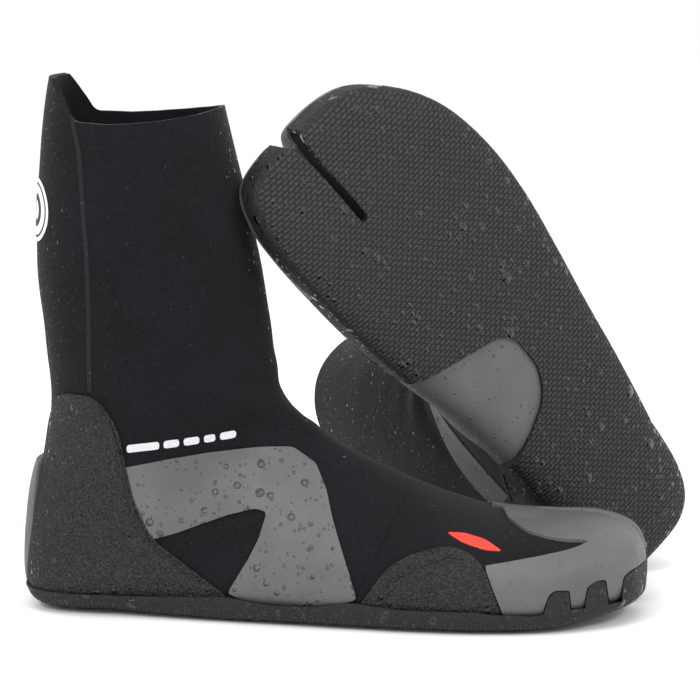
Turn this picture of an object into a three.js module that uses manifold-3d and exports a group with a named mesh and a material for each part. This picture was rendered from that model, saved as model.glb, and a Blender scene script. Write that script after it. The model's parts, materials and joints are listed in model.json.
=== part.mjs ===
// A pair of split-toe neoprene water boots: the right boot stands, the left one leans on it.
// Millimetres, +Z up. Each boot is built in its own frame: x from heel to toe, +y towards the
// inner (big toe) side, z up from the ground, and is then placed in the pair.
import * as THREE from 'three';
import { mergeVertices } from 'three/addons/utils/BufferGeometryUtils.js';
import Module from 'manifold-3d';

const wasm = await Module();
wasm.setup();

// ---- driving dimensions ----
const FOOT_LENGTH = 288;      // neoprene sock, heel to toe tip
const LEG_HEIGHT = 231;       // ground to the rim at the shin
const LEG_WIDTH = 76;         // across the leg tube
const BALL_WIDTH = 109;       // across the ball of the foot
const PULL_PEAK = 16;         // how far the rear pull peak stands above the side rim
const NEOPRENE = 3;           // sock wall
const OVERLAY = 1.3;          // printed panels and counters
const TRIM = 0.8;             // badge, prints and seam tapes
const SOLE = 3;               // outsole under the foot
const FOOTBED = 2.5;
const GAP = 0.3;              // between any two pieces
const TOE_SLOT = 7;           // sock to sock across the toe split
const TOE_SPLIT_DEPTH = 46;   // from the toe tip back to the end of the split
const BADGE_RADIUS = 14.5;
const SEAM_WIDTH = 6;
const ANKLE_LINE = 127;       // lower edge of the leg panels
const STAND_YAW = -6;         // degrees, standing boot about z
const LEAN_TURN = [-89.6, -28.3, -130.6];   // degrees, leaning boot, XYZ order
const LEAN_PLACE = [155.4, 72.4];
const AROUND = 18;            // facets round a section
const ALONG = 20;             // rings from rim to toe

// Sections of the sock from above the rim to the toe tip: x and z of its top line, x and z of its
// bottom line, outer and inner half width, height share of the widest point, corner powers.
const SECTIONS = [
  [90, 256, 16.5, 256, 37, 37, 0.5, 2.1, 2.1],
  [95, 230, 12, 230, 37, 37, 0.5, 2.1, 2.1],
  [104, 193, 8.8, 193, 38, 38, 0.5, 2.1, 2.1],
  [111, 157, 8, 160, 38, 38, 0.5, 2.1, 2.1],
  [116, 128, 11, 125, 37, 37, 0.5, 2.1, 2.1],
  [119, 108, 13.5, 98, 36, 36, 0.5, 2.1, 2.1],
  [122, 99, 11, 76, 35, 35, 0.5, 2.1, 2.2],
  [125, 94, 4.5, 52, 34, 34, 0.48, 2, 2.4],
  [128, 91, 2, 30, 34, 34, 0.44, 2, 2.8],
  [131, 88.5, 4, 10, 35, 34, 0.4, 2, 3.2],
  [136, 85.5, 17, 3.6, 37, 34, 0.36, 2, 3.6],
  [143, 80, 54, 3.3, 39, 34, 0.34, 2, 3.8],
  [152, 74.5, 87, 3.3, 42, 34, 0.33, 2, 4],
  [166, 67.5, 121, 3.3, 46, 38, 0.33, 2, 4],
  [182, 60, 155, 3.3, 51, 45, 0.34, 2, 4],
  [200, 53, 188, 3.3, 55, 50, 0.36, 2, 4],
  [222, 46.5, 219, 3.3, 55, 53, 0.38, 2.1, 4],
  [246, 44.6, 247, 4.2, 50, 54, 0.4, 2.2, 4],
  [267, 43.5, 267, 7.2, 40, 52, 0.42, 2.4, 3.5],
  [282, 37.8, 282, 10.5, 25, 46, 0.45, 2.6, 3],
  [288, 28.3, 288, 13, 7, 33, 0.5, 2.6, 2.6],
];
const DRAWN = { foot: 288, leg: 231, legWidth: 76, ball: 109, ankle: 100 };
const LEG_SECTIONS = 7;

const along = (x) => (x * FOOT_LENGTH) / DRAWN.foot;
const up = (z) => (z <= DRAWN.ankle ? z
  : DRAWN.ankle + ((z - DRAWN.ankle) * (LEG_HEIGHT - DRAWN.ankle)) / (DRAWN.leg - DRAWN.ankle));
const across = (y) => (y * BALL_WIDTH) / DRAWN.ball;

const sections = SECTIONS.map(([tx, tz, bx, bz, wo, wi, h, nt, nb], i) => {
  const wide = i < LEG_SECTIONS ? LEG_WIDTH / DRAWN.legWidth : BALL_WIDTH / DRAWN.ball;
  const lift = SOLE + GAP - 3.3;
  return [along(tx), up(tz), along(bx), up(bz) + (bz < 30 ? lift : 0), wo * wide, wi * wide,
    h, nt, nb];
});

// One named value of the sections at s in 0..1, smooth through every section.
function sectionAt(s) {
  const n = sections.length - 1;
  const u = Math.min(Math.max(s, 0), 1) * n;
  const i = Math.min(Math.floor(u), n - 1);
  const t = u - i;
  return sections[0].map((_, k) => {
    const p1 = sections[i][k], p2 = sections[i + 1][k];
    const p0 = i > 0 ? sections[i - 1][k] : 2 * p1 - p2;
    const p3 = i + 2 <= n ? sections[i + 2][k] : 2 * p2 - p1;
    const m1 = (p2 - p0) / 2, m2 = (p3 - p1) / 2;
    return (2 * p1 - 2 * p2 + m1 + m2) * t ** 3 + (3 * p2 - 3 * p1 - 2 * m1 - m2) * t ** 2
      + m1 * t + p1;
  });
}

const power = (v, n) => Math.sign(v) * Math.abs(v) ** (2 / n);

// A point of the sock's outside: angle 0 on the top line, turning over the outer side.
function sockPoint(s, angle) {
  const [tx, tz, bx, bz, wo, wi, h, nt, nb] = sectionAt(s);
  const c = Math.cos(angle), sn = Math.sin(angle);
  const n = c > 0 ? nt : nb;
  const f = h + (c > 0 ? 1 - h : h) * power(c, n);
  const y = -(sn > 0 ? wo : wi) * power(sn, n);
  return [bx + (tx - bx) * f, y, bz + (tz - bz) * f];
}

const sock = (() => {
  let geometry = new THREE.CylinderGeometry(1, 1, 1, AROUND, ALONG, false);
  const at = geometry.attributes.position;
  for (let i = 0; i < at.count; i += 1) {
    const s = 0.5 - at.getY(i);
    const r = Math.hypot(at.getX(i), at.getZ(i));
    if (r < 0.5) {
      const a = sockPoint(s, 0), b = sockPoint(s, Math.PI);
      at.setXYZ(i, (a[0] + b[0]) / 2, s > 0.5 ? across(13) : 0, (a[2] + b[2]) / 2);
    } else {
      at.setXYZ(i, ...sockPoint(s, Math.atan2(-at.getX(i), at.getZ(i))));
    }
  }
  geometry.deleteAttribute('normal');
  geometry.deleteAttribute('uv');
  geometry = mergeVertices(geometry, 1e-3);
  geometry.computeVertexNormals();
  return geometry;
})();

// ---- solids ----
function solid(geometry) {
  let g = geometry.clone();
  g.deleteAttribute('normal');
  g.deleteAttribute('uv');
  g = mergeVertices(g, 1e-4);
  return new wasm.Manifold(new wasm.Mesh({
    numProp: 3,
    vertProperties: new Float32Array(g.attributes.position.array),
    triVerts: new Uint32Array(g.index.array),
  }));
}

const largest = (body) => {
  const parts = body.decompose();
  return parts.reduce((a, b) => (b.volume() > a.volume() ? b : a), parts[0]);
};
const unite = (bodies) => bodies.reduce((a, b) => a.add(b));

// The sock grown outwards by d, or shrunk when d is negative.
function grown(d) {
  const g = sock.clone();
  const at = g.attributes.position, n = g.attributes.normal;
  for (let i = 0; i < at.count; i += 1) {
    at.setXYZ(i, at.getX(i) + n.getX(i) * d, at.getY(i) + n.getY(i) * d, at.getZ(i) + n.getZ(i) * d);
  }
  return solid(g);
}

// A prism of a side outline (x, z) from y0 to y1, with corners rounded by r.
function outlineShape(points, r = 0) {
  const shape = new THREE.Shape();
  const p = points.map(([x, z]) => new THREE.Vector2(x, z));
  p.forEach((v, i) => {
    const a = p[(i + p.length - 1) % p.length], b = p[(i + 1) % p.length];
    const cut = Math.min(r, v.distanceTo(a) / 2.2, v.distanceTo(b) / 2.2);
    const from = v.clone().lerp(a, cut / v.distanceTo(a));
    const to = v.clone().lerp(b, cut / v.distanceTo(b));
    if (i === 0) shape.moveTo(from.x, from.y); else shape.lineTo(from.x, from.y);
    if (cut > 0) shape.quadraticCurveTo(v.x, v.y, to.x, to.y);
  });
  shape.closePath();
  return shape;
}
function sidePrism(points, y0, y1, r = 0) {
  const g = new THREE.ExtrudeGeometry(outlineShape(points.map(([x, z]) => [along(x), up(z)]), r),
    { depth: y1 - y0, bevelEnabled: false, curveSegments: 2 });
  g.rotateX(Math.PI / 2);
  g.translate(0, y1, 0);
  return solid(g);
}
function planPrism(points, z0, z1, r = 0) {
  const g = new THREE.ExtrudeGeometry(outlineShape(points.map(([x, y]) => [along(x), across(y)]), r),
    { depth: z1 - z0, bevelEnabled: false, curveSegments: 2 });
  g.translate(0, 0, z0);
  return solid(g);
}
const WIDE = 90;
const both = (points, r) => sidePrism(points, -WIDE, WIDE, r);
const outer = (points, r) => sidePrism(points, -WIDE, -3, r);
const inner = (points, r) => sidePrism(points, 3, WIDE, r);

// The split between the big toe and the others, as wide as the clearance leaves it.
const SPLIT_Y = 15.5;
function toeSplit(width) {
  const x0 = FOOT_LENGTH - TOE_SPLIT_DEPTH, x1 = FOOT_LENGTH + 40, y = across(SPLIT_Y);
  const shape = new THREE.Shape();
  shape.moveTo(x1, y - width / 2);
  shape.lineTo(x1, y + width / 2);
  shape.lineTo(x0, y + width / 2);
  shape.absarc(x0, y, width / 2, Math.PI / 2, (3 * Math.PI) / 2, false);
  const g = new THREE.ExtrudeGeometry(shape, { depth: 90, bevelEnabled: false, curveSegments: 4 });
  g.translate(0, 0, -20);
  return solid(g);
}
function layer(inside, outside) {
  const skin = (d) => grown(d).subtract(toeSplit(TOE_SLOT - 2 * d));
  return skin(outside).subtract(skin(inside));
}

const neoprene = layer(-NEOPRENE, 0);
const overlay = layer(GAP, GAP + OVERLAY);
const trim = layer(GAP, GAP + TRIM);

// ---- side outlines, in the boot's own x and z ----
const LEG_TOP = [[-40, 300], [-40, 230 + PULL_PEAK], [15, 230 + PULL_PEAK], [18, 229.4 + PULL_PEAK],
  [22, 238.5], [25.5, 232.9], [28, 228.4], [31, 226.6], [46, 226], [57.4, 226.5], [71.7, 227.9],
  [85, 229.7], [130, 234], [130, 300]];
const SEAM_X = [[27, 300], [29, 231], [33, 214], [34.8, 192], [36.4, 169], [36.9, 146], [36.5, 60]];
const HEEL_CUP_FRONT = 95, VAMP_REAR = 178, VAMP_FRONT = 217.3;
const REAR_ANKLE = 92, FRONT_ANKLE = 86;
const FOOT_TOP = [[-40, REAR_ANKLE], [118, FRONT_ANKLE], [180, FRONT_ANKLE]];
const COUNTER = [[5.5, 11], [6.5, 22], [9, 40], [11.5, 62], [12.8, 75], [14.5, 88], [20, 103.5],
  [41, 103.5], [49.5, 92], [51, 84], [54, 68], [57, 55], [60, 48], [66, 37], [88, 21.5], [100, 13.6],
  [60, 11.2], [30, 10.8]];
const HEEL_PANEL = [[-30, 10.6], [4.6, 10.6], [5.8, 22], [8.3, 40], [10.8, 62], [11.4, 67], [-30, 67]];
const INSERT = [[54.6, 69.8], [73, 73.8], [91, 76.6], [108, 78], [128, 77.6], [139, 70.5], [145, 59.8],
  [148.6, 48.8], [152.7, 38.4], [157.7, 25.4], [161, 14.2], [153, 12.8], [138, 10.6], [124, 10.1],
  [110, 11.6], [101, 14.4], [106, 22.2], [111, 30.5], [115.4, 39.4], [118.5, 50.5], [113, 52],
  [100, 48.7], [87, 44], [77, 40.2], [67.8, 38.4], [61, 49], [57.9, 56], [55, 68.4]];
const RAND = [[162.5, 14.4], [174, 28.5], [184, 34.8], [200, 38.5], [211, 36], [216.6, 30],
  [216.6, 11.8], [205, 11.6], [180, 11.8]];
const SOLE_TOP = [[-30, 10.2], [60, 10.6], [100, 12.4], [121, 9.6], [140, 10], [158, 13], [180, 11],
  [205, 11], [214, 11], [222, 9.9], [243, 9], [247, 11], [330, 12.5], [330, -30], [-30, -30]];
const TEETH = [[[243.5, -5], [245.5, 12], [247.6, 18], [250, 20], [256, 19.8], [258.5, -5]],
  [[262.5, -5], [263.5, 15], [264.5, 20.5], [268, 23], [272, 22.8], [275.5, -5]],
  [[278.8, -5], [279.6, 18], [280.4, 22.8], [284, 24.6], [296, 24.6], [296, -5]]];
const CAP_REAR = 217.8;
const CAP = [[CAP_REAR, 11], [222, 10.4], [243, 9.5], [247, 11.4], [330, 12.9], [330, 80], [CAP_REAR, 80]];
const CAP_WEDGE = [[200, 10], [223, 6], [224.6, -4], [226.7, -14], [231.7, -22.8], [236.5, -28.2],
  [245.6, -31.9], [254.6, -32.8], [265, -31], [259.3, -36.6], [253.2, -40], [241.9, -45],
  [228.9, -49.3], [219.3, -51.9], [200, -56]];
const ARCH_LOBE = [[176, 80], [161, 40], [154, 16], [149, 0], [141, -6], [122, -6], [109, 2],
  [100, 20], [94, 38], [84, 80]];
const SIDE_PRINT = [[53.7, 75], [53.7, 81.4], [69, 83.4], [69, 78.8], [71, 79.1], [71, 83.6],
  [87, 85.7], [87, 81.2], [89, 81.5], [89, 85.9], [103.4, 87.8], [103.4, 81.8]];
const TOE_MARK = [[200, 43.6], [208, 43], [218, 40.4], [226.2, 36.2], [218, 36.8], [208, 39.6]];

const shift = (points, dx, dz) => points.map(([x, z]) => [x + dx, z + dz]);
const grownOutline = (points, d) => {
  const cx = points.reduce((a, p) => a + p[0], 0) / points.length;
  const cz = points.reduce((a, p) => a + p[1], 0) / points.length;
  return points.map(([x, z]) => [x + Math.sign(x - cx) * d, z + Math.sign(z - cz) * d]);
};

// ---- pieces of one boot ----
const above = both(LEG_TOP);
const legZone = both([[-40, ANKLE_LINE], [220, ANKLE_LINE], [220, 400], [-40, 400]]).subtract(above);
const ankleZone = both([...FOOT_TOP, [180, ANKLE_LINE - GAP], [-40, ANKLE_LINE - GAP]]);
const footZone = both([...shift(FOOT_TOP, 0, -GAP), [180, -30], [-40, -30]]);
const rearOfSeam = both([[-60, 300], ...SEAM_X, [-60, 60]]);
const frontOfSeam = both([[200, 300], ...shift(SEAM_X, GAP, 0), [200, 60]]);
const heelCupZone = both([[-60, -30], [HEEL_CUP_FRONT, -30], [HEEL_CUP_FRONT, 120], [-60, 120]]);
const instepZone = both([[HEEL_CUP_FRONT + GAP, -30], [VAMP_REAR, -30], [VAMP_REAR, 120],
  [HEEL_CUP_FRONT + GAP, 120]]);
const vampZone = both([[VAMP_REAR + GAP, -30], [VAMP_FRONT, -30], [VAMP_FRONT, 120],
  [VAMP_REAR + GAP, 120]]);
const toeZone = both([[VAMP_FRONT + GAP, -30], [400, -30], [400, 120], [VAMP_FRONT + GAP, 120]]);
const bigToeSide = planPrism([[150, SPLIT_Y + GAP], [400, SPLIT_Y + GAP], [400, 90], [150, 90]],
  -30, 130);
const fourToeSide = planPrism([[150, SPLIT_Y], [400, SPLIT_Y], [400, -90], [150, -90]], -30, 130);

const soleSides = both(SOLE_TOP).add(unite(TEETH.map((t) => outer(t)))).add(
  unite(TEETH.slice(0, 2).map((t) => inner(t))));
const lobe = planPrism(ARCH_LOBE, -30, 30, 6);
const ground = both([[-100, 0], [500, 0], [500, -60], [-100, -60]]);
const soleLayer = (() => {
  const wide = TOE_SLOT - 2 * (GAP + SOLE);
  const out = grown(GAP + SOLE + 0.5).subtract(ground);
  const slim = grown(GAP + OVERLAY + 0.9);
  const floorZone = both([[-60, 7], [400, 7], [400, -40], [-60, -40]]);
  const body = out.intersect(floorZone).add(slim);
  return body.subtract(grown(GAP).subtract(toeSplit(TOE_SLOT - 2 * GAP)))
    .subtract(toeSplit(Math.max(wide, 2))).subtract(ground);
})();

const capTeeth = unite(TEETH.map((t) => outer(grownOutline(t, 0.5)))).add(
  unite(TEETH.slice(0, 2).map((t) => inner(grownOutline(t, 0.5)))));
const wedge = planPrism(CAP_WEDGE, 24, 80);
const toeCap = overlay.intersect(both(CAP)).subtract(capTeeth).subtract(wedge);

const badgeCutter = (() => {
  const g = new THREE.CylinderGeometry(BADGE_RADIUS, BADGE_RADIUS, 60, 16);
  g.rotateZ(Math.PI / 2);
  g.translate(-5, across(-8.5), up(184.5));
  return solid(g);
})();
const SEAM_LINE = [[27.3, 300], [29.3, 231], [33.3, 214], [35.1, 192], [36.7, 169], [37.2, 146],
  [37, ANKLE_LINE + 1]];
const seamZone = (half) => half([...shift(SEAM_LINE, -SEAM_WIDTH / 2, 0),
  ...shift(SEAM_LINE, SEAM_WIDTH / 2, 0).reverse()]);
const footbedTop = SOLE + 2 * GAP + NEOPRENE + FOOTBED;
const footbed = grown(-NEOPRENE - GAP).subtract(toeSplit(TOE_SLOT + 2 * (NEOPRENE + GAP)))
  .intersect(both([[-60, -20], [262, -20], [262, footbedTop], [-60, footbedTop]]));
const insertInner = overlay.intersect(inner(INSERT, 4))
  .add(overlay.intersect(planPrism(ARCH_LOBE.map(([x, y]) => [x, y]), -30, 14, 6)));
const lobeGrown = planPrism(grownOutline(ARCH_LOBE, 0.6), -30, 30, 6);

const COLOURS = {
  neoprene: [0x26262a, 0.85], knit: [0x2b2b2f, 0.9], rubber: [0x38383a, 0.75],
  sole: [0x46463f, 0.8], grey: [0x74777a, 0.7], white: [0xe8e8e6, 0.6], red: [0xd8321e, 0.5],
  print: [0xb9bbbd, 0.6], bed: [0x303034, 0.95],
};
const PIECES = {
  rear_leg_panel: ['neoprene', neoprene.intersect(legZone).intersect(rearOfSeam)],
  front_leg_panel: ['neoprene', neoprene.intersect(legZone).intersect(frontOfSeam)],
  outer_leg_seam: ['knit', trim.intersect(seamZone(outer)).subtract(above)],
  inner_leg_seam: ['knit', trim.intersect(seamZone(inner)).subtract(above)],
  heel_badge: ['white', trim.intersect(badgeCutter)],
  ankle_panel: ['neoprene', neoprene.intersect(ankleZone)],
  heel_cup_panel: ['neoprene', neoprene.intersect(footZone).intersect(heelCupZone)],
  instep_panel: ['neoprene', neoprene.intersect(footZone).intersect(instepZone)],
  vamp_panel: ['neoprene', neoprene.intersect(vampZone)],
  four_toe_pocket: ['neoprene', neoprene.intersect(toeZone).intersect(fourToeSide)],
  big_toe_pocket: ['neoprene', neoprene.intersect(toeZone).intersect(bigToeSide)],
  footbed: ['bed', footbed],
  outsole: ['sole', soleLayer.intersect(soleSides).subtract(lobe)],
  heel_panel: ['grey', overlay.intersect(both(HEEL_PANEL))],
  outer_heel_counter: ['rubber', overlay.intersect(outer(COUNTER, 7))],
  inner_heel_counter: ['rubber', overlay.intersect(inner(COUNTER, 7)).subtract(lobeGrown)],
  outer_arch_panel: ['grey', overlay.intersect(outer(INSERT, 4))],
  inner_arch_panel: ['grey', insertInner],
  outer_forefoot_rand: ['rubber', overlay.intersect(outer(RAND, 3))],
  inner_forefoot_rand: ['rubber', overlay.intersect(inner(RAND, 3)).subtract(lobeGrown)],
  four_toe_cap: ['grey', toeCap.intersect(fourToeSide)],
  big_toe_cap: ['grey', toeCap.intersect(bigToeSide)],
  side_print: ['print', trim.intersect(outer(SIDE_PRINT))],
  toe_mark: ['red', trim.intersect(outer(TOE_MARK, 2))],
};

function pieceMesh(name, colour, body, flip) {
  const m = body.getMesh();
  const g = new THREE.BufferGeometry();
  const at = Float32Array.from(m.vertProperties);
  const tri = Uint32Array.from(m.triVerts);
  if (flip) {
    for (let i = 1; i < at.length; i += 3) at[i] = -at[i];
    for (let i = 0; i < tri.length; i += 3) [tri[i], tri[i + 1]] = [tri[i + 1], tri[i]];
  }
  g.setAttribute('position', new THREE.BufferAttribute(at, 3));
  g.setIndex(new THREE.BufferAttribute(tri, 1));
  const [hex, roughness] = COLOURS[colour];
  const mesh = new THREE.Mesh(g, new THREE.MeshStandardMaterial({ color: hex, roughness, metalness: 0 }));
  mesh.name = name;
  return mesh;
}

function boot(side) {
  const group = new THREE.Group();
  for (const [name, [colour, body]] of Object.entries(PIECES)) {
    group.add(pieceMesh(`${side}_${name}`, colour, largest(body), side === 'left'));
  }
  return group;
}

const right = boot('right');
right.rotation.z = THREE.MathUtils.degToRad(STAND_YAW);
const left = boot('left');
left.rotation.set(...LEAN_TURN.map(THREE.MathUtils.degToRad), 'XYZ');

// The standing boot is set by its middle; the leaning one is dropped to the ground.
const middle = new THREE.Vector3(along(145), 0, 0).applyEuler(right.rotation);
right.position.set(-7.5 - middle.x, -middle.y, 0);
left.position.set(LEAN_PLACE[0], LEAN_PLACE[1], 0);
left.updateMatrixWorld(true);
left.position.z -= new THREE.Box3().setFromObject(left, true).min.z;
right.updateMatrixWorld(true);

// The distance from the corners of one mesh to the faces of another.
function reach(from, to) {
  const corner = new THREE.Vector3(), near = new THREE.Vector3(), face = new THREE.Triangle();
  const a = from.geometry.attributes.position, b = to.geometry.attributes.position;
  const index = to.geometry.index;
  const faces = [];
  for (let i = 0; i < index.count; i += 3) {
    faces.push([0, 1, 2].map((k) => new THREE.Vector3().fromBufferAttribute(b, index.getX(i + k))
      .applyMatrix4(to.matrixWorld)));
  }
  let least = Infinity;
  for (let i = 0; i < a.count; i += 1) {
    corner.fromBufferAttribute(a, i).applyMatrix4(from.matrixWorld);
    for (const f of faces) {
      face.set(...f).closestPointToPoint(corner, near);
      least = Math.min(least, near.distanceTo(corner));
    }
  }
  return least;
}

// The leaning boot slides along the ground until its toes are one gap from the standing leg.
const leg = right.getObjectByName('right_front_leg_panel');
const toes = ['left_big_toe_cap', 'left_big_toe_pocket'].map((n) => left.getObjectByName(n));
for (let i = 0; i < 12; i += 1) {
  const clear = Math.min(...toes.flatMap((t) => [reach(t, leg), reach(leg, t)]));
  if (Math.abs(clear - GAP) < 0.01) break;
  left.position.x -= clear - GAP;
  left.updateMatrixWorld(true);
}

const pair = new THREE.Group();
pair.add(right, left);
pair.updateMatrixWorld(true);
const box = new THREE.Box3().setFromObject(pair, true);
pair.position.set(-(box.min.x + box.max.x) / 2, -(box.min.y + box.max.y) / 2, -box.min.z);

export default pair;
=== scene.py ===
# A pair of split-toe neoprene boots. Each piece is shaped in its boot's own frame, in millimetres:
# x from heel to toe, +y to the big toe side, z up from the ground; placed() sets it in the pair.
import json
import math

import bmesh
import bpy
import numpy as np
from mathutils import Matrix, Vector, noise
from mathutils.bvhtree import BVHTree


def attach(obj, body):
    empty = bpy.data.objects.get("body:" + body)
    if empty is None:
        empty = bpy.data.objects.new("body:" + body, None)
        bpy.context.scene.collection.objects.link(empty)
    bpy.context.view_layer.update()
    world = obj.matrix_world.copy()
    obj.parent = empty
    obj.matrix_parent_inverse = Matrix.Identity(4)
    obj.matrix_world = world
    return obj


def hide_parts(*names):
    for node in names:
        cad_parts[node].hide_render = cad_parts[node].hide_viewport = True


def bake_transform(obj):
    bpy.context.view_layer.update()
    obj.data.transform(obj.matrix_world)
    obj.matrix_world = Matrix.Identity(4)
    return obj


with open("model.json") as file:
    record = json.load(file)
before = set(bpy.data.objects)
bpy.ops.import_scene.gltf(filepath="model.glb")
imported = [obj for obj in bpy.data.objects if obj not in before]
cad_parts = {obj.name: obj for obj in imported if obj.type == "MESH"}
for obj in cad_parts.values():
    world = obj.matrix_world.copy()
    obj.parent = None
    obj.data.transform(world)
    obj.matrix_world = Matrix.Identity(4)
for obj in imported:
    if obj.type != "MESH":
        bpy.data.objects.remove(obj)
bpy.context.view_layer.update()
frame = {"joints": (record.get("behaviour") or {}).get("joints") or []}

# ---- sizes, millimetres ----
WALL = 3.0            # neoprene
PANEL = 1.3           # grey panels and counters
SINK = -0.25          # how far an overlay's underside lies in the sock
TOOTH_FIT = 0.4       # cap to sole round a tooth
SPLIT_GAP = 7.0       # sock to sock between the toes
SPLIT_END = 242.0
SPLIT_Y = 15.5
ANKLE_PIVOT = (70.0, 0.0, 88.0)
TOE_PIVOT = (200.0, 0.0, 3.3)

# Top line x z, bottom line x z, outer and inner half width, widest height, corner powers.
SECTIONS = np.array([
    [90, 256, 16.5, 256, 37, 37, 0.5, 2.1, 2.1], [95, 230, 12, 230, 37, 37, 0.5, 2.1, 2.1],
    [104, 193, 8.8, 193, 38, 38, 0.5, 2.1, 2.1], [111, 157, 8, 160, 38, 38, 0.5, 2.1, 2.1],
    [116, 128, 11, 125, 37, 37, 0.5, 2.1, 2.1], [119, 108, 13.5, 98, 36, 36, 0.5, 2.1, 2.1],
    [122, 99, 11, 76, 35, 35, 0.5, 2.1, 2.2], [125, 94, 4.5, 52, 34, 34, 0.48, 2, 2.4],
    [128, 91, 2, 30, 34, 34, 0.44, 2, 2.8], [131, 88.5, 4, 10, 35, 34, 0.4, 2, 3.2],
    [136, 85.5, 17, 3.6, 37, 34, 0.36, 2, 3.6], [143, 80, 54, 3.3, 39, 34, 0.34, 2, 3.8],
    [152, 74.5, 87, 3.3, 42, 34, 0.33, 2, 4], [166, 67.5, 121, 3.3, 46, 38, 0.33, 2, 4],
    [182, 60, 155, 3.3, 51, 45, 0.34, 2, 4], [200, 53, 188, 3.3, 55, 50, 0.36, 2, 4],
    [222, 46.5, 219, 3.3, 55, 53, 0.38, 2.1, 4], [246, 44.6, 247, 4.2, 50, 54, 0.4, 2.2, 4],
    [267, 43.5, 267, 7.2, 40, 52, 0.42, 2.4, 3.5], [282, 37.8, 282, 10.5, 25, 46, 0.45, 2.6, 3],
    [288, 28.3, 288, 13, 7, 33, 0.5, 2.6, 2.6]])


def smooth_row(rows, s):
    """A row of the table at s in 0..1, smooth through every row."""
    n = len(rows) - 1
    u = min(max(s, 0.0), 1.0) * n
    i = min(int(u), n - 1)
    t = u - i
    p1, p2 = rows[i], rows[i + 1]
    p0 = rows[i - 1] if i > 0 else 2 * p1 - p2
    p3 = rows[i + 2] if i + 2 <= n else 2 * p2 - p1
    m1, m2 = (p2 - p0) / 2, (p3 - p1) / 2
    return (2 * p1 - 2 * p2 + m1 + m2) * t ** 3 + (3 * p2 - 3 * p1 - 2 * m1 - m2) * t ** 2 + m1 * t + p1


_rows = {}


def sock_point(s, angle, square=1.0):
    """A point on the sock: angle 0 is the top line, a quarter turn the outer side, half the sole."""
    key = round(s, 6)
    if key not in _rows:
        _rows[key] = smooth_row(SECTIONS, s)
    tx, tz, bx, bz, wo, wi, h, nt, nb = _rows[key]
    c, sn = math.cos(angle), math.sin(angle)
    n = nt if c > 0 else nb * (1 + (square - 1) * min(max((bx - 40) / 60, 0), 1))
    f = h + (1 - h if c > 0 else h) * math.copysign(abs(c) ** (2 / n), c)
    y = -(wo if sn > 0 else wi) * math.copysign(abs(sn) ** (2 / n), sn)
    return Vector((bx + (tx - bx) * f, y, bz + (tz - bz) * f))


# ---- mesh helpers ----
def grid(at, nu, nv, wrap=False):
    """A grid laid on the surface at(u, v)."""
    bm = bmesh.new()
    bmesh.ops.create_grid(bm, x_segments=nu, y_segments=nv, size=0.5)
    for v in bm.verts:
        v.co = at(v.co.x + 0.5, v.co.y + 0.5)
    bmesh.ops.remove_doubles(bm, verts=bm.verts, dist=1e-4)
    bm.normal_update()
    return bm


def face_out(bm, inside):
    """Turns an open sheet so that its faces look away from the line inside(co)."""
    bm.normal_update()
    side = sum((f.calc_center_median() - inside(f.calc_center_median())).dot(f.normal) * f.calc_area()
               for f in bm.faces)
    if side < 0:
        bmesh.ops.reverse_faces(bm, faces=bm.faces)
    bm.normal_update()
    return bm


def core(co):
    """The middle line of the boot beside a point: the leg's axis above, the foot's below."""
    if co.z > 75 and co.x < 140:
        return Vector((62, 0, co.z))
    return Vector((min(max(co.x, 45), 262), 0, 24 if co.x > 60 else min(co.z, 60)))


def swell(bm, d):
    """Moves every vertex out along its normal."""
    bm.normal_update()
    moves = [(v, v.normal * (d(v.co) if callable(d) else d)) for v in bm.verts]
    for v, m in moves:
        v.co += m
    bm.normal_update()
    return bm


def to_object(bm, name):
    """Makes the bmesh an object of the scene."""
    me = bpy.data.meshes.new(name)
    bm.to_mesh(me)
    bm.free()
    o = bpy.data.objects.new(name, me)
    bpy.context.scene.collection.objects.link(o)
    return o


def settled(o):
    """Applies the modifiers."""
    dg = bpy.context.evaluated_depsgraph_get()
    me = bpy.data.meshes.new_from_object(o.evaluated_get(dg))
    old = o.data
    o.modifiers.clear()
    o.data = me
    bpy.data.meshes.remove(old)
    return o


def cut(o, other, how="DIFFERENCE"):
    """Cuts, joins or trims o by another closed object, which is used up."""
    m = o.modifiers.new("cut", "BOOLEAN")
    m.operation, m.object, m.solver = how, other, "MANIFOLD"
    settled(o)
    bpy.data.objects.remove(other)
    return o


def prism(points, a, b, flat="side", r=0.0, steps=5):
    """A closed bar of an outline: (x, z) from y a to b, or (x, y) from z a to b, corners rounded by r."""
    p = [Vector(q) for q in points]
    outline = []
    for i, v in enumerate(p):
        before, after = p[i - 1], p[(i + 1) % len(p)]
        c = min(r, (v - before).length / 2.2, (v - after).length / 2.2)
        if c < 0.05:
            outline.append(v)
            continue
        f, t = v + (before - v).normalized() * c, v + (after - v).normalized() * c
        outline += [f * (1 - k) ** 2 + v * 2 * k * (1 - k) + t * k * k for k in np.linspace(0, 1, steps)]
    bm = bmesh.new()
    rim = [bm.verts.new((q.x, a, q.y) if flat == "side" else (q.x, q.y, a)) for q in outline]
    face = bm.faces.new(rim)
    far = bmesh.ops.extrude_face_region(bm, geom=[face])
    step = (0, b - a, 0) if flat == "side" else (0, 0, b - a)
    bmesh.ops.translate(bm, vec=step, verts=[g for g in far["geom"] if isinstance(g, bmesh.types.BMVert)])
    bmesh.ops.recalc_face_normals(bm, faces=bm.faces)
    bmesh.ops.triangulate(bm, faces=[f for f in bm.faces if len(f.verts) > 4])
    return to_object(bm, "cutter")


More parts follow.
